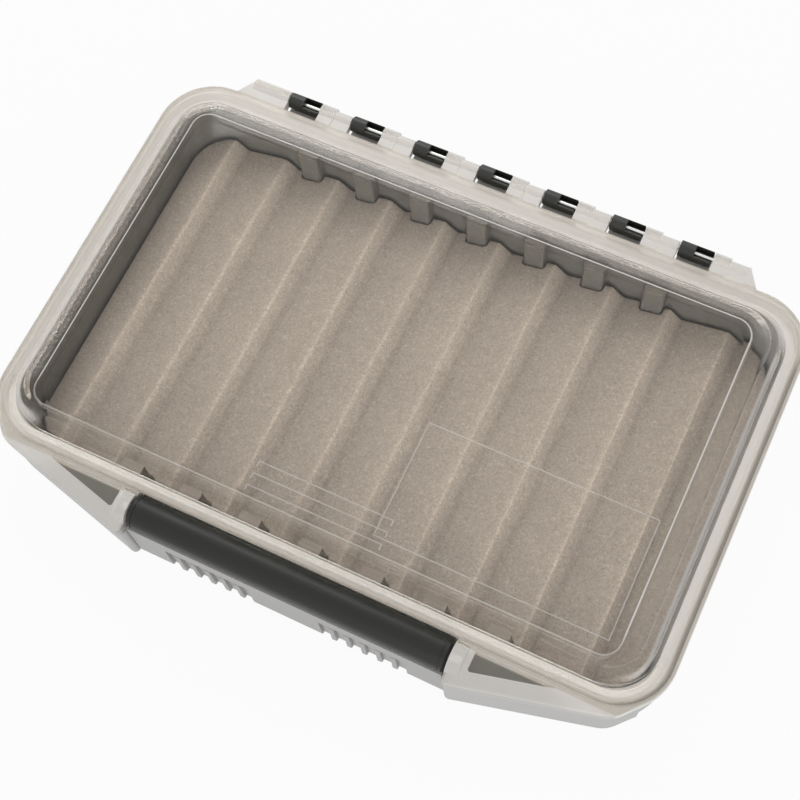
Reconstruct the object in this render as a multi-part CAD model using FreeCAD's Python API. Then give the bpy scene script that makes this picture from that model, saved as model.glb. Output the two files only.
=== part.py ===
import FreeCAD, Part
import math
import os

# Fly box: a shallow case with a clear hinged lid, a foam insert and a front latch.
# Millimetres. Origin at the middle of the flat underside, +X along the hinge,
# +Y to the hinge side, +Z up. The case is drawn closed.

# Case outline, measured on the lid rim
case_length = 190.0
case_width = 117.4
corner_radius = 15.5

# Base tray
base_height = 20.0
base_step = 0.4
wall_draft = 0.6
foot_round = 2.2
rim_width = 4.9
rim_corner_radius = 12.5
cavity_draft = 1.3
cavity_corner_radius = 11.0
floor_thickness = 2.0
floor_fillet = 0.8

# Gap between the tray and the lid all round
joint_gap = 0.3

# Pillars inside the front and rear walls
pillar_count = 7
pillar_pitch = 17.5
pillar_width = 6.0
pillar_depth = 3.0
pillar_drop = 2.6
pillar_round = 0.8

# Seal groove in the tray rim, the seal and the lid tongue that presses it
groove_inset = 1.7
groove_width = 2.0
groove_depth = 2.2
seal_side_gap = 0.05
seal_height = 1.1
seal_crown = 0.3
tongue_width = 1.2
tongue_height = 0.9

# Lid: rim, sloping shoulder, narrow shelf and raised pane
rim_height = 4.0
rim_round = 1.4
rim_crown = 0.3
shoulder_inset = 9.2
shoulder_front_inset = 7.5
shoulder_height = 5.6
shoulder_corner_radius = 9.4
shelf_width = 4.5
shelf_front_width = 1.3
shelf_height = 1.1
pane_corner_radius = 5.2
pane_step = 1.8
pane_step_draft = 0.35
pane_edge_round = 0.7
pane_foot_round = 0.35
shoulder_top_round = 1.0
shoulder_foot_round = 0.8
lid_wall = 1.9

# Moulded marks on the pane: three parallel lines and a bare plaque outline
mark_width = 0.3
mark_height = 0.15
line_count = 3
line_length = 37.0
line_pitch = 3.3
line_centre_x = 0.7
line_front_margin = 2.95
line_hook_length = 1.5
plaque_length = 61.2
plaque_depth = 31.9
plaque_side_margin = 3.35
plaque_front_margin = 4.25

# Front wings of the tray and lid, one at each side of the latch
wing_depth = 11.3
wing_end_inset = 9.5
wing_end_depth = 1.2
wing_blend_radius = 8.0
wing_nose_radius = 1.4
wing_height = 3.4
wing_edge_round = 1.0
wing_foot_height = 1.4
wing_foot_round = 1.2
pocket_end_wall = 5.4
pocket_length = 14.0
pocket_edge_wall = 4.8
pocket_rear_gap = 0.2
pocket_tip_width = 0.9
pocket_depth = 11.0
recess_depth = 2.1
recess_end_wall = 5.0
recess_edge_wall = 4.4
recess_rear_inset = 0.7
recess_round = 0.7

# Latch: round barrel on a pin between the wings, with a ribbed lever below it
barrel_radius = 4.45
barrel_half_length = 44.3
barrel_chamfer = 0.5
barrel_groove_width = 0.3
barrel_groove_depth = 0.15
barrel_groove_inset = 1.3
latch_axis_forward = 3.7
latch_axis_rise = 2.3
latch_end_gap = 0.4
cove_gap = 0.35
ear_width = 3.5
latch_pin_radius = 1.0
latch_pin_grip = 2.6
running_fit = 0.05

# Lever below the barrel
lever_thickness = 2.2
lever_top_forward = 4.95
lever_foot_forward = 5.45
lever_foot_height = 2.5
lever_top_rise = 1.0
lever_foot_round = 0.9
cradle_thickness = 1.4
cradle_end_forward = 0.6
hook_height = 2.0
hook_end_inset = 8.3
hook_edge_round = 0.4
catch_end_inset = 6.3
catch_forward = 3.2
catch_height = 2.0
catch_top_drop = 5.7
catch_gap = 0.4
hook_reach = 0.8

# Finger grips on the lever: two shallow scoops with ribs in them
grip_centre_share = 0.5
grip_rib_count = 5
grip_rib_pitch = 4.33
grip_rib_width = 1.5
grip_rib_side = 2.7
grip_foot_inset = 0.5
grip_top_drop = 4.8
grip_depth = 0.95
grip_rib_proud = 0.15
grip_rib_round = 0.3

# Hinge along the rear edge
hinge_axis_back = 4.1
hinge_axis_rise = 2.0
hinge_radius = 2.2
hinge_pin_radius = 0.65
clip_count = 7
clip_pitch = 19.53
clip_length = 9.2
clip_window_length = 4.9
clip_window_front = 0.75
clip_window_lip = 1.35
clip_window_lip_rise = 1.2
clip_window_rear = 1.55
clip_window_floor = 0.9
clip_edge_round = 0.25
clip_leg_width = 7.2
clip_leg_thickness = 2.4
hinge_side_gap = 0.35
knuckle_length = 4.5
sleeve_radius = 1.6
arm_top_drop = 0.9
end_lug_length = 11.3
end_gusset_length = 3.6
pin_end_inset = 1.2
pin_blind_reach = 4.0
pin_blind_gap = 0.4

# Lugs on the rear wall that hold the clips
lug_width = 9.2
lug_depth = 3.2
lug_top_gap = 0.3
lug_height = 7.9
lug_slope = 3.4
socket_depth = 6.4
socket_gap = 0.1

# Foam insert with ramp-shaped ridges
foam_side_gap = 0.9
foam_corner_radius = 10.8
foam_height = 5.9
ridge_height = 3.4
ridge_pitch = 16.95
ridge_first_x = -78.1
ridge_drop_share = 0.22
ridge_crest_share = 0.09
pillar_clearance = 0.4
adhesive_thickness = 0.15
adhesive_inset = 1.5

# Allowance by which cuts run past a face
overrun = 1.0

# Derived places
half_length = case_length / 2
half_width = case_width / 2
lid_bottom = base_height + joint_gap
rim_top = base_height + rim_height
shoulder_base = rim_top + rim_crown
shoulder_top = shoulder_base + shoulder_height
shelf_top = shoulder_top + shelf_height
pane_top = shelf_top + pane_step
shelf_inset = shoulder_inset + shelf_width
shelf_front_inset = shoulder_front_inset + shelf_front_width
pane_front = shelf_front_inset + pane_step_draft - half_width
pane_side = half_length - shelf_inset - pane_step_draft
recess_end_x = barrel_half_length + latch_end_gap
wing_end_x = half_length - wing_end_inset
lever_top = base_height + lever_top_rise
catch_top = base_height - catch_top_drop
grip_top = base_height - grip_top_drop
latch_y = -(half_width + latch_axis_forward)
latch_z = base_height + latch_axis_rise
hinge_y = half_width + hinge_axis_back
hinge_z = base_height + hinge_axis_rise
lug_top = hinge_z - hinge_radius - lug_top_gap
wall_face = half_width - base_step
clip_centres = [(i - (clip_count - 1) / 2) * clip_pitch for i in range(clip_count)]
pin_start = clip_centres[0] - clip_length / 2 - hinge_side_gap - pin_blind_reach
pillar_centres = [(i - (pillar_count - 1) / 2) * pillar_pitch for i in range(pillar_count)]

os.makedirs("parts", exist_ok=True)


def at(x, y, z):
    return FreeCAD.Vector(x, y, z)


X_AXIS = at(1, 0, 0)
Z_AXIS = at(0, 0, 1)


def box(x0, x1, y0, y1, z0, z1):
    return Part.makeBox(x1 - x0, y1 - y0, z1 - z0, at(x0, y0, z0))


def cylinder_x(radius, x0, x1, y, z):
    return Part.makeCylinder(radius, x1 - x0, at(x0, y, z), X_AXIS)


def mirrored(shape):
    """The same shape on the other side of the middle plane."""
    return shape.mirror(at(0, 0, 0), X_AXIS)


def extruded(points, direction):
    """A solid from a closed flat outline."""
    wire = Part.makePolygon(list(points) + [points[0]])
    return Part.Face(wire).extrude(direction)


def round_edges(shape, radius, wanted):
    """Fillet the edges that a test on their two end points picks."""
    picked = [e for e in shape.Edges if wanted(*(v.Point for v in (e.Vertexes[0], e.Vertexes[-1])))]
    return shape.makeFillet(radius, picked) if picked else shape


def ring(inset, radius, z, front_inset=None):
    """A rounded rectangle inside the case outline, as a closed wire."""
    front = inset if front_inset is None else front_inset
    x0, x1 = inset - half_length, half_length - inset
    y0, y1 = front - half_width, half_width - inset
    edges = []
    corners = [(x1, y0, 270), (x1, y1, 0), (x0, y1, 90), (x0, y0, 180)]
    arcs = []
    for x, y, start in corners:
        centre = at(x - math.copysign(radius, x), y - math.copysign(radius, y), z)
        angles = [math.radians(start + turn) for turn in (0, 45, 90)]
        points = [centre + at(radius * math.cos(a), radius * math.sin(a), 0) for a in angles]
        arcs.append(points)
    for i, points in enumerate(arcs):
        edges.append(Part.Arc(*points).toShape())
        edges.append(Part.LineSegment(points[2], arcs[(i + 1) % 4][0]).toShape())
    return Part.Wire(edges)


def stack(rings):
    """A solid through rounded rectangles one above another."""
    return Part.makeLoft(rings, True, True)


def band(inset, radius, width, z0, z1):
    """A flat ring-shaped strip that follows the case outline."""
    outer = Part.Face(ring(inset, radius, z0)).extrude(Z_AXIS * (z1 - z0))
    inner = Part.Face(ring(inset + width, radius - width, z0 - overrun))
    return outer.cut(inner.extrude(Z_AXIS * (z1 - z0 + 2 * overrun)))


def tangent_point(point, centre, radius):
    """Where a line from a point outside a circle touches it, on the circle's right."""
    dx, dy = centre.x - point.x, centre.y - point.y
    distance = math.hypot(dx, dy)
    heading = math.atan2(dy, dx) - math.asin(radius / distance)
    reach = math.sqrt(distance ** 2 - radius ** 2)
    return at(point.x + reach * math.cos(heading), point.y + reach * math.sin(heading), 0)


def wing(inset, z0, z1):
    """The right-hand front wing between two levels, inside the lid outline by inset."""
    nose_y = -(half_width + wing_depth) + inset
    knee = at(wing_end_x - inset, inset - half_width - wing_end_depth, 0)
    centre = at(half_length - corner_radius, corner_radius - half_width, 0)
    touch = tangent_point(knee, centre, corner_radius - inset)
    rear_y = rim_width / 2 - half_width
    outline = [at(recess_end_x, rear_y, z0), at(recess_end_x, nose_y, z0), at(knee.x, knee.y, z0),
               at(touch.x, touch.y, z0), at(centre.x, rear_y, z0)]
    prism = extruded(outline, Z_AXIS * (z1 - z0))
    upright = lambda a, b, x: abs(a.x - b.x) + abs(a.y - b.y) < joint_gap and abs(a.x - x) < joint_gap
    prism = round_edges(prism, wing_blend_radius, lambda a, b: upright(a, b, knee.x))
    at_nose = lambda a, b: upright(a, b, recess_end_x) and a.y < latch_y
    return round_edges(prism, wing_nose_radius, at_nose)


def wing_pocket():
    """The deep three-sided pocket in the top of the right-hand wing of the tray."""
    x0, x1 = recess_end_x + pocket_end_wall, recess_end_x + pocket_end_wall + pocket_length
    z = base_height - pocket_depth
    rear = -half_width - pocket_rear_gap
    outline = [at(x0, rear, z), at(x0, pocket_edge_wall - half_width - wing_depth, z),
               at(x1, rear - pocket_tip_width, z), at(x1, rear, z)]
    return extruded(outline, Z_AXIS * (pocket_depth + overrun))


def rounded_rim(prism, radius, z):
    """Round the free edges of a wing at one level."""
    level = lambda a, b: abs(a.z - z) + abs(b.z - z) < joint_gap
    free = lambda a, b: min(a.y, b.y) < -half_width and max(a.x, b.x) > recess_end_x + joint_gap
    return round_edges(prism, radius, lambda a, b: level(a, b) and free(a, b))


def cove():
    """The hollow in which the latch barrel turns."""
    return cylinder_x(barrel_radius + cove_gap, -recess_end_x, recess_end_x, latch_y, latch_z)


def pillar(x, side, grow):
    """A pillar on the front (side -1) or rear (side 1) inner wall."""
    inner = half_width - rim_width - cavity_draft - pillar_depth - grow
    outer = half_width - rim_width / 2
    half = pillar_width / 2 + grow
    y0, y1 = sorted((side * inner, side * outer))
    body = box(x - half, x + half, y0, y1, floor_thickness, base_height - pillar_drop)
    inner_y = side * inner
    edge = lambda a, b: abs(a.y - inner_y) + abs(b.y - inner_y) < joint_gap and abs(a.z - b.z) > pillar_drop
    return round_edges(body, pillar_round + grow, edge)


def hinge_lug(x):
    """A lug on the rear wall with a socket for the leg of a hinge clip."""
    rear = hinge_y + lug_depth
    bottom = lug_top - lug_height
    root = wall_face - (groove_inset - base_step) / 2
    profile = [(root, bottom - lug_slope), (wall_face, bottom - lug_slope), (rear, bottom),
               (rear, lug_top), (root, lug_top)]
    x0 = x - lug_width / 2
    lug = extruded([at(x0, y, z) for y, z in profile], X_AXIS * lug_width)
    half = clip_leg_width / 2 + socket_gap
    reach = clip_leg_thickness / 2 + socket_gap
    socket = box(x - half, x + half, hinge_y - reach, hinge_y + reach,
                 lug_top - socket_depth, lug_top + overrun)
    return lug.cut(socket)


def make_base_tray():
    foot_inset = wall_draft + foot_round / 3
    outside = stack([
        ring(base_step + foot_round, corner_radius - foot_round, 0),
        ring(base_step + foot_inset, corner_radius - foot_inset, foot_round / 3),
        ring(base_step + wall_draft, corner_radius - wall_draft, foot_round),
        ring(base_step, corner_radius - base_step, base_height)])
    feet = wing(base_step, wing_foot_height, base_height)
    feet = rounded_rim(feet, wing_foot_round, wing_foot_height)
    tray = outside.fuse([feet, mirrored(feet)])
    cavity = stack([
        ring(rim_width + cavity_draft + floor_fillet, cavity_corner_radius, floor_thickness),
        ring(rim_width + cavity_draft, cavity_corner_radius, floor_thickness + floor_fillet),
        ring(rim_width, rim_corner_radius, base_height),
        ring(rim_width, rim_corner_radius, base_height + overrun)])
    groove = band(groove_inset, corner_radius - groove_inset, groove_width,
                  base_height - groove_depth, base_height + overrun)
    pocket = wing_pocket()
    tray = tray.cut([cavity, groove, cove(), pocket, mirrored(pocket)])
    pillars = [pillar(x, side, 0) for x in pillar_centres for side in (-1, 1)]
    catch_z = catch_top - catch_height
    catch_end = barrel_half_length - catch_end_inset
    catch = box(-catch_end, catch_end, -wall_face - catch_forward, rim_width / 2 - half_width,
                catch_z, catch_top)
    lugs = [hinge_lug(x) for x in clip_centres]
    return tray.fuse(pillars + lugs + [catch]).removeSplitter()


def make_seal_ring():
    inset = groove_inset + seal_side_gap
    width = groove_width - 2 * seal_side_gap
    bottom = base_height - groove_depth
    strip = band(inset, corner_radius - inset, width, bottom, bottom + seal_height)
    crown_inset = inset + seal_crown
    crown = band(crown_inset, corner_radius - crown_inset, width - 2 * seal_crown,
                 bottom, bottom + seal_height + seal_crown)
    return strip.fuse(crown).removeSplitter()


def lid_outside():
    pane_inset = shelf_inset + pane_step_draft
    solid = stack([
        ring(0, corner_radius, lid_bottom),
        ring(0, corner_radius, rim_top),
        ring(rim_width, rim_corner_radius, shoulder_base),
        ring(shoulder_inset, shoulder_corner_radius, shoulder_top, shoulder_front_inset),
        ring(shelf_inset, pane_corner_radius, shelf_top, shelf_front_inset),
        ring(pane_inset, pane_corner_radius, pane_top, shelf_front_inset + pane_step_draft)])
    levels = [(pane_top, pane_edge_round), (shelf_top, pane_foot_round), (shoulder_top, shoulder_top_round),
              (shoulder_base, shoulder_foot_round), (rim_top, rim_round)]
    for z, radius in levels:
        solid = round_edges(solid, radius, lambda a, b: abs(a.z - z) + abs(b.z - z) < seal_side_gap)
    return solid


def lid_inside():
    ledge = rim_width + joint_gap
    return stack([
        ring(ledge, rim_corner_radius, lid_bottom - overrun),
        ring(ledge, rim_corner_radius, rim_top - lid_wall / 2),
        ring(shoulder_inset + lid_wall / 2, shoulder_corner_radius, shoulder_top - lid_wall / 2,
             shoulder_front_inset + lid_wall / 2),
        ring(shelf_inset + lid_wall / 2, pane_corner_radius, shelf_top - lid_wall / 2,
             shelf_front_inset + lid_wall / 2),
        ring(shelf_inset + lid_wall, pane_corner_radius, pane_top - lid_wall, shelf_front_inset + lid_wall)])


def lid_wing():
    top = lid_bottom + wing_height
    body = rounded_rim(wing(0, lid_bottom, top), wing_edge_round, top)
    slope = (wing_depth - wing_end_depth) / (wing_end_x - recess_end_x)
    x0 = recess_end_x + recess_end_wall
    rear = recess_rear_inset - half_width
    front = recess_edge_wall - half_width - wing_depth + slope * recess_end_wall
    length = (rear - front) / slope
    outline = [at(x0, front, top - recess_depth), at(x0 + length, front + slope * length, top - recess_depth),
               at(x0, rear, top - recess_depth)]
    hollow = extruded(outline, Z_AXIS * (recess_depth + overrun))
    hollow = round_edges(hollow, recess_round, lambda a, b: abs(a.z - b.z) > recess_depth)
    return body.cut(hollow)


def latch_ear():
    """The end of a wing that carries the latch pin, rounded like the barrel."""
    x0, x1 = recess_end_x, recess_end_x + ear_width
    knob = cylinder_x(barrel_radius, x0, x1, latch_y, latch_z)
    root = box(x0, x1, latch_y, rim_width / 2 - half_width, lid_bottom, lid_bottom + wing_height)
    cheek = box(x0, x1, latch_y - barrel_radius, latch_y, lid_bottom, latch_z)
    below = box(x0 - overrun, x1 + overrun, latch_y - 2 * barrel_radius, latch_y + 2 * barrel_radius,
                latch_z - 2 * barrel_radius, lid_bottom)
    return knob.cut(below).fuse([root, cheek])


def knuckle(x0, x1, radius):
    """A stretch of the lid's hinge tube with the arm that joins it to the lid rim."""
    tube = cylinder_x(radius, x0, x1, hinge_y, hinge_z)
    arm = box(x0, x1, half_width - rim_width / 2, hinge_y, lid_bottom, hinge_z + radius - arm_top_drop)
    return tube.fuse(arm)


def knuckles():
    """Lid knuckles to the right of every clip, and a lug at each end of the hinge."""
    tubes = []
    for x in clip_centres:
        start = x + clip_length / 2 + hinge_side_gap
        tubes.append(knuckle(start, start + knuckle_length, hinge_radius))
        stop = x + clip_pitch - clip_length / 2 - hinge_side_gap
        tubes.append(knuckle(start + knuckle_length, stop, sleeve_radius))
    first = clip_centres[0] - clip_length / 2 - hinge_side_gap
    tubes.append(knuckle(first - end_lug_length, first, hinge_radius))
    last = clip_centres[-1] + clip_pitch - clip_length / 2 - hinge_side_gap
    for edge, way in ((first - end_lug_length, -1), (last, 1)):
        foot = half_width - rim_width / 2
        outline = [at(edge, foot, lid_bottom), at(edge, hinge_y + sleeve_radius, lid_bottom),
                   at(edge + way * end_gusset_length, half_width, lid_bottom),
                   at(edge + way * end_gusset_length, foot, lid_bottom)]
        tubes.append(extruded(outline, Z_AXIS * (hinge_z + hinge_radius - arm_top_drop - lid_bottom)))
    return tubes, last


def pane_marks():
    z0, z1 = pane_top - lid_wall / 2, pane_top + mark_height
    half = mark_width / 2
    marks = []
    for i in range(line_count):
        y = pane_front + line_front_margin + i * line_pitch
        x0, x1 = line_centre_x - line_length / 2, line_centre_x + line_length / 2
        marks.append(box(x0, x1, y - half, y + half, z0, z1))
        marks += [box(x - half, x + half, y - line_hook_length, y, z0, z1) for x in (x0, x1)]
    right = pane_side - plaque_side_margin
    left = right - plaque_length
    front = pane_front + plaque_front_margin
    rear = front + plaque_depth
    outer = box(left - half, right + half, front - half, rear + half, z0, z1)
    inner = box(left + half, right - half, front + half, rear - half, z0 - overrun, z1 + overrun)
    return marks + [outer.cut(inner)]


def make_lid_shell():
    tongue_inset = groove_inset + (groove_width - tongue_width) / 2
    tongue = band(tongue_inset, corner_radius - tongue_inset, tongue_width,
                  lid_bottom - tongue_height, rim_top - rim_round)
    tubes, tube_end = knuckles()
    shell = lid_outside().cut(lid_inside())
    side = lid_wing()
    shell = shell.fuse([side, mirrored(side), tongue])
    shell = shell.cut(cove())
    ear = latch_ear()
    shell = shell.fuse([ear, mirrored(ear)] + tubes + pane_marks())
    pin_hole = cylinder_x(hinge_pin_radius + running_fit, pin_start - pin_blind_gap,
                          tube_end + end_gusset_length, hinge_y, hinge_z)
    latch_hole_end = recess_end_x + latch_pin_grip
    latch_hole = cylinder_x(latch_pin_radius + running_fit, -latch_hole_end, latch_hole_end, latch_y, latch_z)
    return shell.cut([pin_hole, latch_hole]).removeSplitter()


def make_hinge_clip(x):
    half = clip_length / 2
    body = cylinder_x(hinge_radius, x - half, x + half, hinge_y, hinge_z)
    body = body.makeFillet(clip_edge_round, [e for e in body.Edges if e.Closed and len(e.Vertexes) == 1])
    leg_bottom = lug_top - socket_depth + socket_gap
    leg = box(x - clip_leg_width / 2, x + clip_leg_width / 2, hinge_y - clip_leg_thickness / 2,
              hinge_y + clip_leg_thickness / 2, leg_bottom, hinge_z)
    top = hinge_radius + overrun
    section = [(-clip_window_front, -clip_window_floor), (-clip_window_lip, clip_window_lip_rise),
               (-top, clip_window_lip_rise), (-top, top), (clip_window_rear, top),
               (clip_window_rear, -clip_window_floor)]
    window = extruded([at(x + half - clip_window_length, hinge_y + y, hinge_z + z) for y, z in section],
                      X_AXIS * (clip_window_length + overrun))
    bore = cylinder_x(hinge_pin_radius + running_fit, x - half - overrun, x + half + overrun,
                      hinge_y, hinge_z)
    return body.fuse(leg).cut([window, bore]).removeSplitter()


def make_hinge_pin():
    end = clip_centres[-1] + clip_pitch - clip_length / 2 - hinge_side_gap - pin_end_inset
    return cylinder_x(hinge_pin_radius, pin_start, end, hinge_y, hinge_z)


def make_latch_pin():
    end = recess_end_x + latch_pin_grip - running_fit
    return cylinder_x(latch_pin_radius, -end, end, latch_y, latch_z)


def make_latch_barrel():
    barrel = cylinder_x(barrel_radius, -barrel_half_length, barrel_half_length, latch_y, latch_z)
    ends = [e for e in barrel.Edges if e.Closed and len(e.Vertexes) == 1]
    barrel = barrel.makeChamfer(barrel_chamfer, ends)
    core_radius = barrel_radius - barrel_groove_depth
    groove_x = barrel_half_length - barrel_groove_inset - barrel_groove_width
    groove = cylinder_x(barrel_radius + overrun, groove_x, groove_x + barrel_groove_width, latch_y, latch_z)
    groove = groove.cut(cylinder_x(core_radius, groove_x - overrun, groove_x + barrel_groove_width + overrun,
                                   latch_y, latch_z))
    bore = cylinder_x(latch_pin_radius + running_fit, -barrel_half_length - overrun,
                      barrel_half_length + overrun, latch_y, latch_z)
    return barrel.cut([groove, mirrored(groove), bore])


def lever_section(x0, x1, points):
    return extruded([at(x0, latch_y + y, z) for y, z in points], X_AXIS * (x1 - x0))


def make_latch_lever():
    half = barrel_half_length
    foot = lever_foot_height
    slope = (lever_foot_forward - lever_top_forward) / (lever_top - foot)
    front = lambda z: -lever_foot_forward + slope * (z - foot)
    plate = lever_section(-half, half, [
        (front(lever_top), lever_top), (front(foot), foot),
        (front(foot) + lever_thickness, foot), (front(lever_top) + lever_thickness, lever_top)])
    low = lambda a, b: abs(a.z - foot) + abs(b.z - foot) < joint_gap and abs(a.x - b.x) > half
    plate = round_edges(plate, lever_foot_round, low)
    cradle = cylinder_x(barrel_radius + cradle_thickness, -half, half, latch_y, latch_z)
    cradle_low = latch_z - barrel_radius - cradle_thickness
    keep = lever_section(-half, half, [
        (front(lever_top), lever_top), (front(cradle_low), cradle_low),
        (cradle_end_forward, cradle_low), (cradle_end_forward, lever_top)])
    seat = cylinder_x(barrel_radius, -half - overrun, half + overrun, latch_y, latch_z)
    hook_top = catch_top - catch_height - catch_gap
    hook_tip = latch_axis_forward - base_step - catch_forward + hook_reach + catch_gap
    hook_end = half - hook_end_inset
    hook = lever_section(-hook_end, hook_end, [
        (front(hook_top) + lever_thickness / 2, hook_top - hook_height), (hook_tip, hook_top - hook_height),
        (hook_tip, hook_top), (front(hook_top) + lever_thickness / 2, hook_top)])
    tip_y = latch_y + hook_tip
    at_tip = lambda a, b: abs(a.y - tip_y) + abs(b.y - tip_y) < hook_edge_round and abs(a.x - b.x) > half
    hook = round_edges(hook, hook_edge_round, at_tip)
    lever = plate.fuse([cradle.common(keep), hook]).cut(seat)
    zone_half = (grip_rib_count - 1) * grip_rib_pitch / 2 + grip_rib_width / 2 + grip_rib_side
    scoops, ribs = [], []
    grip_centre = half * grip_centre_share
    for centre in (-grip_centre, grip_centre):
        scoops.append(lever_section(centre - zone_half, centre + zone_half, [
            (front(grip_top) - overrun, grip_top), (front(grip_top), grip_top),
            (front(grip_top - grip_depth) + grip_depth, grip_top - grip_depth),
            (front(0) + grip_depth, 0), (front(0) - overrun, 0)]))
        for i in range(grip_rib_count):
            x = centre + (i - (grip_rib_count - 1) / 2) * grip_rib_pitch - grip_rib_width / 2
            rib = lever_section(x, x + grip_rib_width, [
                (front(grip_top) + lever_thickness / 2, grip_top),
                (front(grip_top - grip_depth) - grip_rib_proud, grip_top - grip_depth),
                (front(foot + grip_foot_inset) - grip_rib_proud, foot + grip_foot_inset),
                (front(foot) + lever_foot_round, foot), (front(foot) + lever_thickness / 2, foot)])
            outer = lambda a, b: max(a.y - latch_y - front(a.z), b.y - latch_y - front(b.z)) < 0
            along = lambda a, b: abs(a.x - b.x) < joint_gap and abs(a.z - b.z) > lever_thickness
            ribs.append(round_edges(rib, grip_rib_round, lambda a, b: outer(a, b) and along(a, b)))
    return lever.cut(scoops).fuse(ribs).removeSplitter()


def foam_profile():
    """The top line of the foam, from left to right: slow ramps with a steep drop."""
    crest = floor_thickness + adhesive_thickness + foam_height
    trough = crest - ridge_height
    drop = ridge_drop_share * ridge_pitch
    flat = ridge_crest_share * ridge_pitch
    points = []
    x = ridge_first_x
    while x > -half_length:
        x -= ridge_pitch
    while x < half_length + ridge_pitch:
        points += [(x - flat, crest - ridge_height * ridge_crest_share), (x, crest), (x + drop, trough)]
        x += ridge_pitch
    return points


def make_foam_insert():
    bottom = floor_thickness + adhesive_thickness
    top = foam_profile()
    y0 = -half_width
    outline = [at(top[0][0], y0, bottom)] + [at(x, y0, z) for x, z in top] + [at(top[-1][0], y0, bottom)]
    waves = extruded(outline, at(0, case_width, 0))
    inset = rim_width + cavity_draft + foam_side_gap
    plan = Part.Face(ring(inset, foam_corner_radius, bottom)).extrude(Z_AXIS * (foam_height + overrun))
    notches = [pillar(x, side, pillar_clearance) for x in pillar_centres for side in (-1, 1)]
    return waves.common(plan).cut(notches)


def make_adhesive_sheet():
    inset = rim_width + cavity_draft + floor_fillet + adhesive_inset
    sheet = Part.Face(ring(inset, foam_corner_radius, floor_thickness)).extrude(Z_AXIS * adhesive_thickness)
    return sheet.cut([pillar(x, side, pillar_clearance) for x in pillar_centres for side in (-1, 1)])


pieces = {
    "base_tray": make_base_tray(),
    "seal_ring": make_seal_ring(),
    "adhesive_sheet": make_adhesive_sheet(),
    "foam_insert": make_foam_insert(),
    "lid_shell": make_lid_shell(),
    "hinge_pin": make_hinge_pin(),
    "latch_pin": make_latch_pin(),
    "latch_barrel": make_latch_barrel(),
    "latch_lever": make_latch_lever(),
}
for number, centre_x in enumerate(clip_centres, 1):
    pieces["hinge_clip_" + str(number)] = make_hinge_clip(centre_x)

for node, shape in pieces.items():
    shape.exportStep("parts/" + node + ".step")
    state = "valid" if shape.isValid() else "INVALID"
    print(node, len(shape.Solids), "solid", state, round(shape.Volume, 1), "mm3")
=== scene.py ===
import bmesh
import bpy
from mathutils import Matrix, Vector


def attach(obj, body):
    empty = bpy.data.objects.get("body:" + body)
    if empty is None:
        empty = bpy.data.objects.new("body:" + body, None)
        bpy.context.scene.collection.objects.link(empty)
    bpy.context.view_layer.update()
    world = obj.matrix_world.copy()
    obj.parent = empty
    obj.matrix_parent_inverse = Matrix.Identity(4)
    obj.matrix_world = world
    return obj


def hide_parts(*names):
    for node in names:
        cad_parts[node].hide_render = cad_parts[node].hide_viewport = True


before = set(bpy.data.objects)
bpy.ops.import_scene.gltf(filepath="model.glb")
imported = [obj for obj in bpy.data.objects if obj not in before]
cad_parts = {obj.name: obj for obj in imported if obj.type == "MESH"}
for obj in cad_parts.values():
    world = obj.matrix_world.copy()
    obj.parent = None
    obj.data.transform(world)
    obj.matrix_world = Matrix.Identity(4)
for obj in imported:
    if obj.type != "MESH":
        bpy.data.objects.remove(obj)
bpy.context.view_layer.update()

bl_info = {
    "name": "Fly Box",
    "version": (1, 0, 0),
    "blender": (4, 5, 0),
    "location": "3D View > Sidebar > Fly Box",
    "description": "Finishes a clear-lidded fly box with its foam insert, hinge and latch, and lights it",
    "category": "Add Mesh",
}

MM = 0.001

# The closed case, in millimetres of the row frame
CASE_HALF_LENGTH, CASE_HALF_WIDTH = 95.0, 58.7
CORNER_RADIUS = 15.5
RIM_TOP, SHELF_FOOT, PANE_FOOT, PANE_TOP = 24.15, 29.9, 30.7, 32.8
FIRST_CREST, FOAM_PITCH = -78.1, 16.95
FOAM_WOBBLE = 0.9
FRONT_SHELF_SHIFT = 4.9

# Where each place begins, and half the width of the soft step there, in millimetres
EDGES = {
    "tray_front": (-42.0, 4.0), "tray_rear": (42.0, 4.0), "tray_right": (80.0, 5.0),
    "hollow_side": (3.6, 0.4), "rim_shadow_foot": (19.45, 0.15),
    "foam_lit_rear": (38.0, 22.0), "foam_shaded_front": (-42.0, 12.0),
    "lid_front": (-44.0, 4.0), "lid_rear": (44.0, 4.0), "lid_left": (-80.0, 4.0), "lid_right": (84.0, 3.0),
    "wing_rear": (-CASE_HALF_WIDTH - 0.5, 0.3), "hinge_front": (CASE_HALF_WIDTH + 0.3, 0.2),
    "rim_top": (RIM_TOP, 0.25), "rim_side": (5.0, 0.25), "crown_side": (2.3, 0.3),
    "shoulder_foot": (RIM_TOP + 0.4, 0.3), "shoulder_side": (7.6, 0.6), "crease_side": (11.0, 0.3),
    "recess_top": (22.4, 0.4), "recess_end": (74.0, 7.0), "skirt_top": (23.1, 0.25),
    "fillet_side": (14.3, 0.15), "mark_foot": (PANE_TOP + 0.07, 0.02),
}

# Bands between two such edges
BANDS = {
    "hollow": ((1.0, 0.3), (19.75, 0.15)),
    "shelf": ((SHELF_FOOT + 0.1, 0.1), (PANE_FOOT, 0.05)),
    "step": ((PANE_TOP - 0.26, 0.05), (PANE_TOP - 0.012, 0.008)),
    "crease": ((SHELF_FOOT - 0.2, 0.05), (SHELF_FOOT + 0.08, 0.03)),
    "root": ((RIM_TOP, 0.05), (RIM_TOP + 0.3, 0.05)),
    "fillet": ((29.9, 0.1), (30.86, 0.02)),
    "right_lit_band": ((6.4, 0.3), (7.5, 0.3)),
    "seat": ((0.9, 0.15), (1.8, 0.3)),
}

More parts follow.
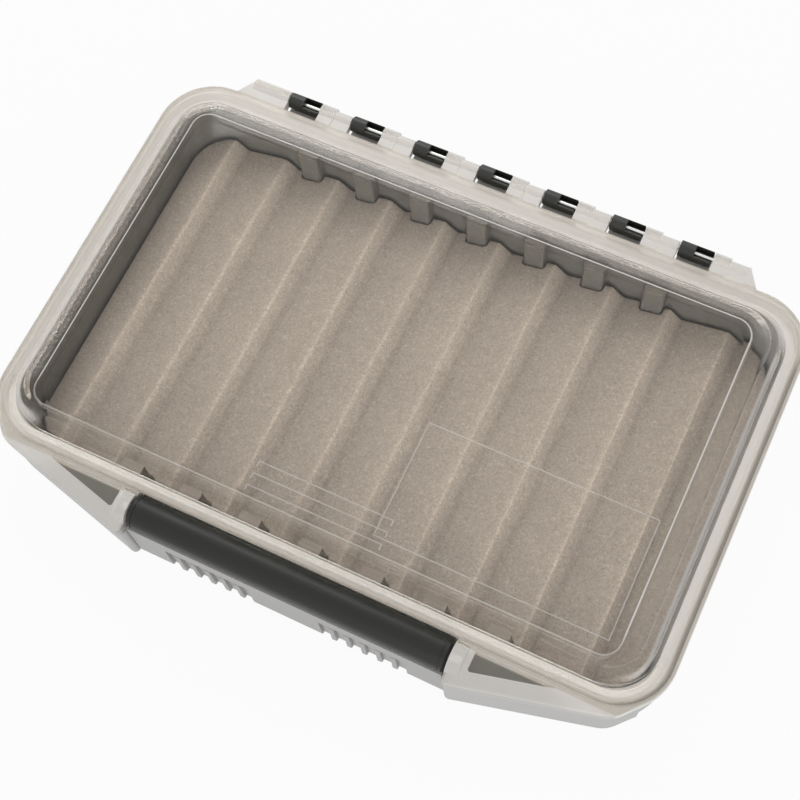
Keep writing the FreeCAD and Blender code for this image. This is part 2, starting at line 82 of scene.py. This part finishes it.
# Soft steps on plain values: how level a face is, how strong a noise or the milk is
TRAY_LEVEL, LID_LEVEL = (0.6, 0.2), (0.5, 0.2)
PORE_STEP, FLECK_STEP, STIPPLE_STEP, BRIGHT_STEP = (0.62, 0.05), (0.52, 0.08), (0.5, 0.2), (0.2, 0.15)

# Scale per metre, detail and roughness of each noise
NOISES = {
    "mottle": (60.0, 4.0, 0.55), "fine": (900.0, 2.0, 0.5), "cavity": (420.0, 4.0, 0.75),
    "foam_mottle": (55.0, 5.0, 0.6), "foam_speck": (2600.0, 2.0, 0.6), "foam_wobble": (260.0, 3.0, 0.6),
    "foam_flecks": (420.0, 4.0, 0.7), "foam_pores": (1300.0, 3.0, 0.75),
    "lid_waves": (40.0, 2.0, 0.5), "lid_grain": (1300.0, 2.0, 0.7), "lid_stipple": (2300.0, 2.0, 0.6),
    "bloom": (220.0, 4.0, 0.6), "rubber_grain": (1400.0, 2.0, 0.5), "film": (300.0, 3.0, 0.5),
    "drawn": (900.0, 3.0, 0.6), "paper": (30.0, 3.0, 0.5),
    "satin_grain": (1500.0, 2.0, 0.6), "sleek_grain": (1800.0, 2.0, 0.6),
}
DRAWN_STRETCH = (0.03, 1.0, 1.0)

# Grain, its depth and the mean roughness of the two kinds of moulded plastic
SATIN = {"grain": "satin_grain", "depth": 0.12 * MM, "roughness": 0.48}
SLEEK = {"grain": "sleek_grain", "depth": 0.08 * MM, "roughness": 0.42}
PLASTIC_IOR, CLEAR_IOR = 1.5, 1.08

# Depths of the other finishes' relief, in metres
DEPTHS = {"foam": 0.08 * MM, "lid_waves": 0.6 * MM, "lid_grain": 0.12 * MM, "rubber": 0.1 * MM,
          "steel": 0.05 * MM}

# Shares, shades and strengths of each finish
# The tray cavity's painted shade, its painted light on the lit walls and near the front, and the painted
# shadow under its rim
TRAY = {"lit_wall": 0.22, "cavity_dark": 0.55, "cavity_light": 1.45, "lit_shade": 0.75, "near": 0.9,
        "rim_shadow": 0.75, "rim_shadow_tone": 0.6}
PLASTIC = {"mottle": 0.7, "fine": 0.3, "dark": 0.93, "light": 1.07, "relief": 0.35, "uneven": 0.12,
           "sheen": 0.06, "shine": 0.5}
# In FOAM, the rear and front shares paint light towards the rear and shade at the front
FOAM = {"rear": 0.1, "front": 0.04, "mottle": 0.26, "flecks": 0.3, "pores": 0.95, "speck": 0.5, "chips": 0.2,
        "base": 0.01, "middle": 0.5, "cells": 0.5, "cell_speck": 0.5, "relief": 0.25, "uneven": 0.1,
        "rough": 0.86}
# In MILK, most shares paint highlights and sheen on the lid's edges, steps, shoulder, wings and hinge, one
# paints light over a shadow line on the right, and two paint shade in the wing recesses and by the seal; the
# marks, the stipple and the rim's milk are the lid's own
MILK = {"crease": 0.7, "crease_right": 0.8, "root": 0.5, "lines_front": 0.8, "step": 0.8, "step_front": 0.45,
        "mark": 0.4, "right_lit_band": 0.33, "shoulder_left": 0.85, "shoulder_rear": 0.55, "stipple": 0.06,
        "stipple_left": 0.28, "stipple_rear": 0.1, "shelf_rear": 0.12, "edge": 0.85, "hinge": 0.92,
        "wing": 0.75, "crown": 0.85, "rim": 0.62, "rim_waves": 0.08, "skirt": 0.8, "recess": 0.9,
        "seat": 0.45, "seat_right": 0.4, "uneven": 0.1, "rough": 0.32}
CLEAR = {"shelf": 0.2, "rim": 0.3, "grain": 0.14, "grain_rear": 0.7, "waves": 0.03}
RUBBER = {"dark": 0.85, "light": 1.1, "uneven": 0.15, "rough": 0.5, "relief": 0.3}
FILM = {"dark": 0.9, "light": 1.05, "uneven": 0.1, "rough": 0.35}
STEEL = {"dark": 0.85, "light": 1.0, "uneven": 0.2, "rough": 0.2, "relief": 0.15}

# Painted light and shade of the foam along one ramp, from crest to crest: a painted highlight at the crest, a
# drop face painted lighter and painted shade at its foot
FOAM_RAMP_LIGHT = [(0.0, 1.42), (0.05, 1.29), (0.1, 1.22), (0.15, 1.18), (0.2, 0.96), (0.24, 0.82), (0.3, 0.9),
              (0.45, 0.96), (0.65, 1.0), (0.85, 1.05), (0.91, 1.09), (0.96, 1.16), (0.99, 1.36)]
FOAM_CELLS = 3200.0
FOAM_MERGE = 0.001 * MM
# Painted light for level faces near the front of the tray's cavity
NEAR_CAVITY = (0.29, 0.25, 0.215, 1.0)
LID_TINT, LID_TINT_DEEP = (0.97, 0.96, 0.94, 1.0), (0.95, 0.935, 0.905, 1.0)
# The dark milk is painted shade and shadow; the white milk paints highlights, and also the raised marks and
# the stipple
MILK_SHADE, MILK_GREY = (0.17, 0.16, 0.135, 1.0), (0.44, 0.43, 0.415, 1.0)
MILK_CREAM, MILK_PALE, MILK_WHITE = (0.7, 0.645, 0.57, 1.0), (0.78, 0.73, 0.66, 1.0), (0.92, 0.89, 0.85, 1.0)
FILM_COLOUR, STEEL_COLOUR = (0.7, 0.68, 0.62), (0.75, 0.75, 0.73)
PAPER_DULL, PAPER_BRIGHT, WHITE = (0.90, 0.90, 0.90, 1.0), (0.93, 0.93, 0.93, 1.0), (1.0, 1.0, 1.0, 1.0)

# Stage, in metres: the lamps' places, sizes and powers, and the camera
SKY_LIGHT, FLOOR_GLOW, FLOOR_HALF = 0.48, 0.94, 1.6
LAMPS = (("key", (-0.28, 0.58, 0.58), 0.4, 1.75), ("fill", (0.35, -0.9, 0.3), 0.6, 2.2))
CAMERA_PLACE, CAMERA_TURN = (0.082091, -0.119197, 0.362188), (0.375463, 0.063341, 0.446877)
CAMERA_LENS, CAMERA_SENSOR, CAMERA_CLIP = 63.54, 36.0, (0.01, 10.0)
SEEN_RAYS = ("Is Camera Ray", "Is Glossy Ray", "Is Transmission Ray")

CLIPS = ["hinge_clip_%d" % number for number in range(1, 8)]


class Socket:
    """A shader socket that Python's operators work on."""

    def __init__(self, shader, output):
        self.shader = shader
        self.output = output

    def __add__(self, other):
        return self.shader.maths("ADD", self, other)

    def __radd__(self, other):
        return self.shader.maths("ADD", other, self)

    def __sub__(self, other):
        return self.shader.maths("SUBTRACT", self, other)

    def __rsub__(self, other):
        return self.shader.maths("SUBTRACT", other, self)

    def __mul__(self, other):
        return self.shader.maths("MULTIPLY", self, other)

    def __rmul__(self, other):
        return self.shader.maths("MULTIPLY", other, self)

    def __abs__(self):
        return self.shader.maths("ABSOLUTE", self)

    def above(self, edge, softness):
        """0 below an edge and 1 above it, over a soft step."""
        return self.shader.node(
            "ShaderNodeMapRange", {"clamp": True, "interpolation_type": "SMOOTHSTEP"},
            {"Value": self, "From Min": edge - softness, "From Max": edge + softness,
             "To Min": 0.0, "To Max": 1.0})

    def past(self, name):
        """0 before a named edge of the box and 1 past it."""
        edge, softness = EDGES[name]
        return self.above(edge * MM, softness * MM)

    def within(self, name):
        """1 inside a named band of the box and 0 outside it."""
        (low, low_softness), (high, high_softness) = BANDS[name]
        return self.above(low * MM, low_softness * MM) * (1.0 - self.above(high * MM, high_softness * MM))


class Shader:
    """The nodes of one material, or of the world."""

    def __init__(self, owner):
        owner.use_nodes = True
        self.owner = owner
        self.tree = owner.node_tree
        self.tree.nodes.clear()

    def node(self, kind, settings=None, sockets=None, output=0):
        """A node of a type, with its settings and the values or links of its sockets."""
        made = self.tree.nodes.new(kind)
        for key, value in (settings or {}).items():
            if key == "stops":
                stops = made.color_ramp.elements
                for index, (place, colour) in enumerate(value):
                    stop = stops[index] if index < len(stops) else stops.new(place)
                    stop.position = place
                    stop.color = colour
            else:
                setattr(made, key, value)
        for key, value in (sockets or {}).items():
            if isinstance(value, Socket):
                self.tree.links.new(value.output, made.inputs[key])
            else:
                made.inputs[key].default_value = value
        return None if output is None else Socket(self, made.outputs[output])

    def maths(self, operation, first, second=0.0):
        """A Math node on two numbers or sockets."""
        return self.node("ShaderNodeMath", {"operation": operation}, {0: first, 1: second})

    def place(self, kind="Object"):
        """The object coordinates, in metres of the row frame, or the piece's own normals."""
        return self.node("ShaderNodeTexCoord", output=kind)

    def axis(self, number, kind="Object"):
        """One of the three parts of the coordinates."""
        return self.node("ShaderNodeSeparateXYZ", {}, {0: self.place(kind)}, output=number)

    def level(self, step):
        """1 on faces that lie level and 0 on upright ones."""
        return abs(self.axis(2, "Normal")).above(*step)

    def greatest(self, *values):
        """The greatest of several values."""
        top = values[0]
        for value in values[1:]:
            top = self.maths("MAXIMUM", top, value)
        return top

    def inset(self):
        """How far a point lies inside the case's rounded outline, up to its corner radius."""
        halves = (CASE_HALF_LENGTH, CASE_HALF_WIDTH)
        beyond = [self.maths("MAXIMUM", abs(self.axis(side)) - (half - CORNER_RADIUS) * MM, 0.0)
                  for side, half in enumerate(halves)]
        return CORNER_RADIUS * MM - self.maths("SQRT", beyond[0] * beyond[0] + beyond[1] * beyond[1])

    def noise(self, name, stretch=(1.0, 1.0, 1.0)):
        """One of the named noises, even or stretched along an axis."""
        scale, detail, roughness = NOISES[name]
        spread = self.node("ShaderNodeMapping", {}, {"Vector": self.place(), "Scale": stretch})
        return self.node("ShaderNodeTexNoise", {},
                         {"Vector": spread, "Scale": scale, "Detail": detail, "Roughness": roughness})

    def mix(self, share, first, second):
        """A colour between two colours."""
        return self.node("ShaderNodeMix", {"data_type": "RGBA"}, {0: share, 6: first, 7: second}, output=2)

    def scaled(self, colour, factor):
        """A colour made lighter or darker by a factor."""
        return self.node("ShaderNodeVectorMath", {"operation": "SCALE"}, {0: colour, "Scale": factor})

    def bump(self, height, strength, distance, under=None):
        """The normal that a height gives, on top of another normal if there is one."""
        sockets = {"Height": height, "Strength": strength, "Distance": distance}
        if under:
            sockets["Normal"] = under
        return self.node("ShaderNodeBump", {}, sockets)

    def seen(self, *kinds):
        """1 for light paths of the named kinds and 0 for the others."""
        return self.greatest(*[self.node("ShaderNodeLightPath", output=kind) for kind in kinds])

    def principled(self, sockets):
        """The common surface shader."""
        return self.node("ShaderNodeBsdfPrincipled", {}, sockets)

    def surface(self, shader, output="ShaderNodeOutputMaterial"):
        """Link the finished shader and return what it belongs to."""
        self.node(output, {}, {"Surface": shader}, output=None)
        return self.owner


def finish(name):
    """The shader of a new material."""
    return Shader(bpy.data.materials.new(name))


def rgba(colour, shade=1.0):
    """A colour with its alpha, made lighter or darker."""
    return tuple(channel * shade for channel in colour[:3]) + (1.0,)


def tray_shades(shader, tone, colour, inside_shade):
    """The tray's colour with a darker, rougher cavity of painted shade, painted light on its right and rear
    walls and on level faces near the front, and a painted shadow under its rim.
    """
    height, side, rear = shader.axis(2), shader.axis(0), shader.axis(1)
    upright = 1.0 - shader.level(TRAY_LEVEL)
    near = 1.0 - rear.past("tray_front")
    far = rear.past("tray_rear")
    right = side.past("tray_right")
    # Painted light: the cavity's right side and its rear walls are painted paler
    lit = shader.greatest(right, far * upright * TRAY["lit_wall"])
    # Painted shade: the cavity is painted a darker grey, with a mottle
    cavity_shade = shader.mix(shader.noise("cavity"), rgba(inside_shade, TRAY["cavity_dark"]),
                      rgba(inside_shade, TRAY["cavity_light"]))
    cavity_shade = shader.mix(lit, cavity_shade, rgba(colour, TRAY["lit_shade"]))
    # Painted light: level faces near the front of the cavity are painted paler and warmer
    cavity_shade = shader.mix(near * (1.0 - upright) * TRAY["near"], cavity_shade, NEAR_CAVITY)
    hollow = shader.inset().past("hollow_side") * height.within("hollow")
    tone = shader.mix(hollow, tone, cavity_shade)
    # Painted shadow on the cavity's upright walls just under the rim, except on the right
    rim_shadow = upright * height.past("rim_shadow_foot") * (1.0 - right)
    return shader.mix(rim_shadow * TRAY["rim_shadow"], tone, rgba(inside_shade, TRAY["rim_shadow_tone"]))


def moulded_plastic(name, colour, mould, inside_shade=None, shine=PLASTIC["shine"]):
    """Opaque moulded plastic: a fine spark-eroded grain and faint flow mottling, with painted shade in the
    tray's cavity.
    """
    shader = finish(name)
    mottle = shader.noise("mottle")
    blotch = mottle * PLASTIC["mottle"] + shader.noise("fine") * PLASTIC["fine"]
    tone = shader.mix(blotch, rgba(colour, PLASTIC["dark"]), rgba(colour, PLASTIC["light"]))
    # Painted shade in the tray's cavity, with painted light on its lit walls and a painted shadow under the
    # rim
    if inside_shade:
        tone = tray_shades(shader, tone, colour, inside_shade)
    return shader.surface(shader.principled({
        "Base Color": tone, "Roughness": mottle * PLASTIC["uneven"] + (mould["roughness"] - PLASTIC["sheen"]),
        "Normal": shader.bump(shader.noise(mould["grain"]), PLASTIC["relief"], mould["depth"]),
        "IOR": PLASTIC_IOR, "Specular IOR Level": shine}))


def foam_finish(colour):
    """Closed-cell foam: dull, with fine pores and a soft mottle, painted highlights on the crests, painted
    light and shade along each ramp, and painted light towards the rear with painted shade at the front.
    """
    shader = finish("foam")
    mottle, speck = shader.noise("foam_mottle"), shader.noise("foam_speck")
    flecks, pores = shader.noise("foam_flecks"), shader.noise("foam_pores")
    cells = shader.node("ShaderNodeTexVoronoi", {"feature": "F1"},
                        {"Vector": shader.place(), "Scale": FOAM_CELLS, "Randomness": 1.0})
    wobble = (shader.noise("foam_wobble") - FOAM["middle"]) * (FOAM_WOBBLE * MM)
    along = (shader.axis(0) + wobble - FIRST_CREST * MM) * (1.0 / (FOAM_PITCH * MM))
    # Painted highlight on each crest, painted light on the drop face and painted shade at its foot
    stops = [(place, rgba(colour, shade)) for place, shade in FOAM_RAMP_LIGHT]
    ramp_light = shader.node("ShaderNodeValToRGB", {"stops": stops}, {"Fac": shader.maths("FRACT", along)})
    chips = pores.above(*PORE_STEP) * flecks.above(*FLECK_STEP)
    # Painted light towards the rear of the foam and painted shade at its front
    parts = {"rear": shader.axis(1).past("foam_lit_rear"), "front": shader.axis(1).past("foam_shaded_front"),
             "mottle": mottle, "flecks": flecks, "pores": pores, "speck": speck, "chips": chips}
    shade = FOAM["base"]
    for name, part in parts.items():
        shade = part * FOAM[name] + shade
    height = cells * FOAM["cells"] + speck * FOAM["cell_speck"]
    return shader.surface(shader.principled({
        "Base Color": shader.scaled(ramp_light, shade), "Roughness": mottle * FOAM["uneven"] + FOAM["rough"],
        "Normal": shader.bump(height, FOAM["relief"], DEPTHS["foam"]),
        "Specular IOR Level": 0.25, "Sheen Weight": 0.15, "Sheen Roughness": 0.6}))


def lid_places(shader):
    """Where on the lid a point lies, as values from 0 to 1."""
    height, side, rear = shader.axis(2), shader.axis(0), shader.axis(1)
    inset = shader.inset()
    on = {"upright": 1.0 - shader.level(LID_LEVEL)}
    on["front"], on["left"] = 1.0 - rear.past("lid_front"), 1.0 - side.past("lid_left")
    on["rear"], on["right"] = rear.past("lid_rear"), side.past("lid_right")
    on["wing"], on["hinge"] = 1.0 - rear.past("wing_rear"), rear.past("hinge_front")
    on["rim"] = shader.greatest((1.0 - height.past("rim_top")) * (1.0 - inset.past("rim_side")), on["wing"])
    for name in ("shelf", "step", "root"):
        on[name] = height.within(name)
    on["mark"] = height.past("mark_foot")
    # Painted shade on the floors of the wing recesses
    on["recess"] = (on["wing"] * (1.0 - height.past("recess_top")) * (1.0 - on["upright"])
                    * (1.0 - abs(side).past("recess_end")))
    # Painted sheen on the shoulder at the left and the rear
    sides = shader.greatest(on["left"] * MILK["shoulder_left"], on["rear"] * MILK["shoulder_rear"])
    on["shoulder"] = height.past("shoulder_foot") * (1.0 - inset.past("shoulder_side")) * sides
    # Painted light over the shadow line just inside the right rim
    on["right_lit_band"] = on["right"] * inset.within("right_lit_band") * (1.0 - on["rear"])
    # Painted highlight line along the shelf's foot
    on["crease"] = (height.within("crease") * (1.0 - inset.past("crease_side")) * (1.0 - on["left"])
                    * (1.0 - on["right"] * MILK["crease_right"]))
    shifted = inset + on["front"] * (FRONT_SHELF_SHIFT * MM)
    on["fillet"] = shifted.past("fillet_side") * height.within("fillet")
    # Painted highlight along the rim's crown
    on["crown"] = inset.past("crown_side") * on["rim"] * (1.0 - on["wing"])
    # Painted shadow by the seal, at the right and the front
    on["seat"] = inset.within("seat") * (1.0 - on["left"]) * (1.0 - on["rear"]) * on["rim"]
    on["seat"] = on["seat"] * (1.0 - on["upright"]) * (on["right"] * MILK["seat_right"] + MILK["seat"])
    on["skirt"] = on["wing"] * on["upright"] * (1.0 - height.past("skirt_top"))
    return on


def lid_milk(shader, on, waves):
    """How milky the lid is at a point, and the colour of the milk there: white painted highlights and sheen
    on edges, steps, shoulder, wings and hinge, painted light over a shadow line inside the right rim, and
    painted shade in the wing recesses and by the seal.
    """
    stipple = (on["shelf"] * shader.noise("lid_stipple").above(*STIPPLE_STEP)
               * (on["left"] * MILK["stipple_left"] + on["rear"] * MILK["stipple_rear"] + MILK["stipple"]))
    stipple = (stipple + on["shelf"] * on["rear"] * MILK["shelf_rear"]) * (1.0 - on["front"])
    # Painted highlight lines at the shelf's foot, the shoulder's root and the pane's step, with the painted
    # sheen; the raised marks and the frosted stipple are the lid's own
    lines = shader.greatest(on["crease"] * MILK["crease"], on["root"] * MILK["root"])
    lines = shader.greatest(
        lines * (1.0 - on["front"] * MILK["lines_front"]),
        on["step"] * (MILK["step"] - on["front"] * MILK["step_front"]),
        on["mark"] * MILK["mark"], on["shoulder"], stipple, on["right_lit_band"] * MILK["right_lit_band"])
    # Painted highlights: the rim's upright edges, the hinge, the wings and the rim's crown are painted white
    bright = shader.greatest(
        lines, on["rim"] * on["upright"] * MILK["edge"], on["rim"] * on["hinge"] * MILK["hinge"],
        on["wing"] * MILK["wing"], on["crown"] * MILK["crown"])
    satin = on["rim"] * MILK["rim"] + waves * on["rim"] * MILK["rim_waves"]
    cream = shader.mix(waves, MILK_CREAM, MILK_PALE)
    tone = shader.mix(bright.above(*BRIGHT_STEP), cream, MILK_WHITE)
    tone = shader.mix(on["skirt"] * MILK["skirt"], tone, MILK_GREY)
    # Painted shade in the wing recesses and painted shadow by the seal
    tone = shader.mix(shader.greatest(on["recess"] * MILK["recess"], on["seat"]), tone, MILK_SHADE)
    return shader.greatest(bright, satin), tone


def clear_plastic(haze):
    """Clear moulded plastic: a crisp pane, a stippled shelf, a milky rim, and milky painted highlights on
    edges, steps, shoulder, wings and hinge, with painted shade in the wing recesses and by the seal.

    The milky share grows from nothing on the pane to nearly all of it on edges and outer walls."""
    shader = finish("lid_clear")
    waves, grain = shader.noise("lid_waves"), shader.noise("lid_grain")
    on = lid_places(shader)
    milk, tone = lid_milk(shader, on, waves)
    relief = grain * (on["shelf"] * (1.0 - on["rear"] * CLEAR["grain_rear"]) + on["rim"])
    bump = shader.bump(waves, CLEAR["waves"], DEPTHS["lid_waves"])
    bump = shader.bump(relief, CLEAR["grain"], DEPTHS["lid_grain"], bump)
    glass = shader.principled({
        "Base Color": shader.mix(waves, LID_TINT, LID_TINT_DEEP),
        "Roughness": on["shelf"] * CLEAR["shelf"] + on["rim"] * CLEAR["rim"] + haze, "Normal": bump,
        "Transmission Weight": 1.0, "IOR": CLEAR_IOR,
        "Coat Weight": 0.35, "Coat IOR": PLASTIC_IOR, "Coat Roughness": 0.04})
    milky = shader.principled({
        "Base Color": tone, "Roughness": grain * MILK["uneven"] + MILK["rough"],
        "Normal": bump, "IOR": PLASTIC_IOR})
    body = shader.node("ShaderNodeMixShader", {}, {0: milk, 1: glass, 2: milky})
    through = shader.node("ShaderNodeBsdfTransparent", {}, {"Color": LID_TINT})
    clear = shader.greatest(shader.seen("Is Shadow Ray"), on["fillet"])
    return shader.surface(shader.node("ShaderNodeMixShader", {}, {0: clear, 1: body, 2: through}))


def rubber_finish(colour):
    """Soft seal rubber with a dusty bloom."""
    shader = finish("seal_rubber")
    bloom = shader.noise("bloom")
    return shader.surface(shader.principled({
        "Base Color": shader.mix(bloom, rgba(colour, RUBBER["dark"]), rgba(colour, RUBBER["light"])),
        "Roughness": bloom * RUBBER["uneven"] + RUBBER["rough"],
        "Normal": shader.bump(shader.noise("rubber_grain"), RUBBER["relief"], DEPTHS["rubber"])}))


def film_finish(colour):
    """Thin double-sided film with a faint mottle."""
    shader = finish("adhesive_film")
    mottle = shader.noise("film")
    return shader.surface(shader.principled({
        "Base Color": shader.mix(mottle, rgba(colour, FILM["dark"]), rgba(colour, FILM["light"])),
        "Roughness": mottle * FILM["uneven"] + FILM["rough"]}))


def steel_finish(colour):
    """Drawn steel rod with fine lines along it."""
    shader = finish("pin_steel")
    lines = shader.noise("drawn", DRAWN_STRETCH)
    return shader.surface(shader.principled({
        "Base Color": shader.mix(lines, rgba(colour, STEEL["dark"]), rgba(colour, STEEL["light"])),
        "Metallic": 1.0, "Roughness": lines * STEEL["uneven"] + STEEL["rough"],
        "Normal": shader.bump(lines, STEEL["relief"], DEPTHS["steel"])}))


def dress(node, material):
    """Give a CAD node its finish."""
    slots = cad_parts[node].data.materials
    slots.clear()
    slots.append(material)


def add_object(name, data):
    """A new object at the origin, in the scene."""
    made = bpy.data.objects.new(name, data)
    bpy.context.scene.collection.objects.link(made)
    return made


def colour_property(name, description, default):
    return bpy.props.FloatVectorProperty(
        name=name, description=description, subtype="COLOR", size=3, default=default, min=0.0, max=1.0)


class FlyBoxSettings(bpy.types.PropertyGroup):
    """Colours and sizes of the fly box's finishes"""

    tray_colour: colour_property("Tray colour", "Grey of the tray", (0.525, 0.52, 0.51))
    lever_colour: colour_property("Lever colour", "Slightly darker grey of the lever", (0.44, 0.435, 0.425))
    # Painted shade: the darker grey painted into the tray's cavity
    cavity_shade_colour: colour_property("Cavity colour", "Darker grey inside the tray", (0.155, 0.143, 0.12))
    foam_colour: colour_property("Foam colour", "Taupe of the foam insert", (0.315, 0.272, 0.235))
    clip_colour: colour_property("Clip colour", "Near-black of the hinge clips", (0.022, 0.023, 0.019))
    barrel_colour: colour_property("Barrel colour", "Green-black of the latch bar", (0.015, 0.0165, 0.0135))
    seal_colour: colour_property("Seal colour", "Colour of the rim seal", (0.66, 0.62, 0.56))
    barrel_shine: bpy.props.FloatProperty(
        name="Barrel shine", description="Strength of the barrel's reflections",
        default=0.36, min=0.0, max=1.0)
    lid_haze: bpy.props.FloatProperty(
        name="Lid haze", description="Roughness of the clear pane", default=0.0, min=0.0, max=1.0)
    foam_voxel: bpy.props.FloatProperty(
        name="Foam mesh size", description="Edge length of the foam's mesh",
        subtype="DISTANCE", unit="LENGTH", default=0.5 * MM, min=0.2 * MM, max=5.0 * MM)
    foam_softness: bpy.props.IntProperty(
        name="Foam softness", description="Smoothing rounds on the foam's edges", default=1, min=0, max=40)
    foam_kept: bpy.props.FloatProperty(
        name="Foam detail", description="Share of the foam's faces that is kept",
        default=0.4, min=0.05, max=1.0)


class FLYBOX_OT_tray(bpy.types.Operator):
    """Finish the tray and the seal in its rim"""

    bl_idname = "fly_box.tray"
    bl_label = "Tray and Seal"

    def execute(self, context):
        look = context.scene.fly_box
        dress("base_tray", moulded_plastic("tray_plastic", look.tray_colour, SATIN, inside_shade=look.cavity_shade_colour))
        dress("seal_ring", rubber_finish(look.seal_colour))
        dress("adhesive_sheet", film_finish(FILM_COLOUR))
        return {"FINISHED"}


class FLYBOX_OT_foam(bpy.types.Operator):
    """Make the foam insert with its soft ramps"""

    bl_idname = "fly_box.foam"
    bl_label = "Foam Insert"

    def execute(self, context):
        look = context.scene.fly_box
        shape = bmesh.new()
        shape.from_mesh(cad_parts["foam_insert"].data)
        bmesh.ops.remove_doubles(shape, verts=shape.verts, dist=FOAM_MERGE)
        mesh = bpy.data.meshes.new("foam_pad")
        shape.to_mesh(mesh)
        shape.free()
        pad = add_object("foam_pad", mesh)
        remesh = pad.modifiers.new("cells", "REMESH")
        remesh.mode = "VOXEL"
        remesh.voxel_size = look.foam_voxel
        smooth = pad.modifiers.new("soften", "SMOOTH")
        smooth.factor = 0.5
        smooth.iterations = look.foam_softness
        thin = pad.modifiers.new("thin", "DECIMATE")
        thin.ratio = look.foam_kept
        graph = bpy.context.evaluated_depsgraph_get()
        soft = bpy.data.meshes.new_from_object(pad.evaluated_get(graph))
        pad.modifiers.clear()
        pad.data = soft
        soft.materials.clear()
        soft.materials.append(foam_finish(look.foam_colour))
        soft.shade_smooth()
        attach(pad, "base")
        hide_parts("foam_insert")
        return {"FINISHED"}


class FLYBOX_OT_lid(bpy.types.Operator):
    """Finish the clear lid"""

    bl_idname = "fly_box.lid"
    bl_label = "Clear Lid"

    def execute(self, context):
        dress("lid_shell", clear_plastic(context.scene.fly_box.lid_haze))
        return {"FINISHED"}


class FLYBOX_OT_hinge(bpy.types.Operator):
    """Finish the hinge clips and their pin"""

    bl_idname = "fly_box.hinge"
    bl_label = "Hinge"

    def execute(self, context):
        black = moulded_plastic("clip_black", context.scene.fly_box.clip_colour, SLEEK)
        for clip in CLIPS:
            dress(clip, black)
        dress("hinge_pin", steel_finish(STEEL_COLOUR))
        return {"FINISHED"}


class FLYBOX_OT_latch(bpy.types.Operator):
    """Finish the latch barrel, its lever and its pin"""

    bl_idname = "fly_box.latch"
    bl_label = "Latch"

    def execute(self, context):
        look = context.scene.fly_box
        black = moulded_plastic("barrel_black", look.barrel_colour, SLEEK, shine=look.barrel_shine)
        dress("latch_barrel", black)
        dress("latch_lever", moulded_plastic("lever_grey", look.lever_colour, SATIN))
        dress("latch_pin", steel_finish(STEEL_COLOUR))
        return {"FINISHED"}


class FLYBOX_OT_stage(bpy.types.Operator):
    """Make the floor, the lamps and the camera"""

    bl_idname = "fly_box.stage"
    bl_label = "Stage"

    def execute(self, context):
        self.floor()
        self.sky()
        for lamp in LAMPS:
            self.lamp(*lamp)
        self.camera()
        return {"FINISHED"}

    def floor(self):
        """A pale floor that the camera sees as white, with the object's shadow on it."""
        shape = bmesh.new()
        bmesh.ops.create_grid(shape, x_segments=2, y_segments=2, size=FLOOR_HALF)
        mesh = bpy.data.meshes.new("floor")
        shape.to_mesh(mesh)
        shape.free()
        floor = add_object("floor", mesh)
        shader = finish("floor")
        paper = shader.principled({
            "Base Color": shader.mix(shader.noise("paper"), PAPER_DULL, PAPER_BRIGHT), "Roughness": 0.9})
        glow = shader.node("ShaderNodeEmission", {}, {"Color": WHITE, "Strength": 1.0})
        seen = shader.seen(*SEEN_RAYS)
        mesh.materials.append(shader.surface(
            shader.node("ShaderNodeMixShader", {}, {0: seen * FLOOR_GLOW, 1: paper, 2: glow})))

    def sky(self):
        """An even soft light, white where it is seen directly or in a reflection."""
        shader = Shader(bpy.data.worlds.new("studio"))
        glow = shader.node("ShaderNodeBackground", {}, {
            "Color": WHITE, "Strength": shader.seen(*SEEN_RAYS) * (1.0 - SKY_LIGHT) + SKY_LIGHT})
        bpy.context.scene.world = shader.surface(glow, "ShaderNodeOutputWorld")

    def lamp(self, name, place, size, power):
        """A square lamp that faces the object."""
        data = bpy.data.lights.new(name, "AREA")
        data.shape = "SQUARE"
        data.size = size
        data.energy = power
        lamp = add_object(name, data)
        lamp.location = place
        lamp.rotation_mode = "QUATERNION"
        lamp.rotation_quaternion = (-Vector(place)).to_track_quat("-Z", "Y")

    def camera(self):
        """The camera at the photo's viewing angle."""
        data = bpy.data.cameras.new("camera")
        data.sensor_width = CAMERA_SENSOR
        data.lens = CAMERA_LENS
        data.clip_start, data.clip_end = CAMERA_CLIP
        camera = add_object("camera", data)
        camera.location = CAMERA_PLACE
        camera.rotation_euler = CAMERA_TURN
        bpy.context.scene.camera = camera
        bpy.context.scene.view_settings.view_transform = "Standard"


class FLYBOX_PT_panel(bpy.types.Panel):
    """Lists the fly box's pieces"""

    bl_idname = "FLYBOX_PT_panel"
    bl_label = "Fly Box"
    bl_space_type = "VIEW_3D"
    bl_region_type = "UI"
    bl_category = "Fly Box"

    def draw(self, context):
        look = context.scene.fly_box
        for name in FlyBoxSettings.__annotations__:
            self.layout.prop(look, name)
        for step in STEPS:
            self.layout.operator(step.bl_idname)


STEPS = (FLYBOX_OT_tray, FLYBOX_OT_foam, FLYBOX_OT_lid, FLYBOX_OT_hinge, FLYBOX_OT_latch, FLYBOX_OT_stage)
CLASSES = (FlyBoxSettings,) + STEPS + (FLYBOX_PT_panel,)


def register():
    for kind in CLASSES:
        bpy.utils.register_class(kind)
    bpy.types.Scene.fly_box = bpy.props.PointerProperty(type=FlyBoxSettings)


def unregister():
    del bpy.types.Scene.fly_box
    for kind in reversed(CLASSES):
        bpy.utils.unregister_class(kind)


def main():
    register()
    bpy.ops.fly_box.tray()
    bpy.ops.fly_box.foam()
    bpy.ops.fly_box.lid()
    bpy.ops.fly_box.hinge()
    bpy.ops.fly_box.latch()
    bpy.ops.fly_box.stage()


if __name__ == "__main__":
    main()
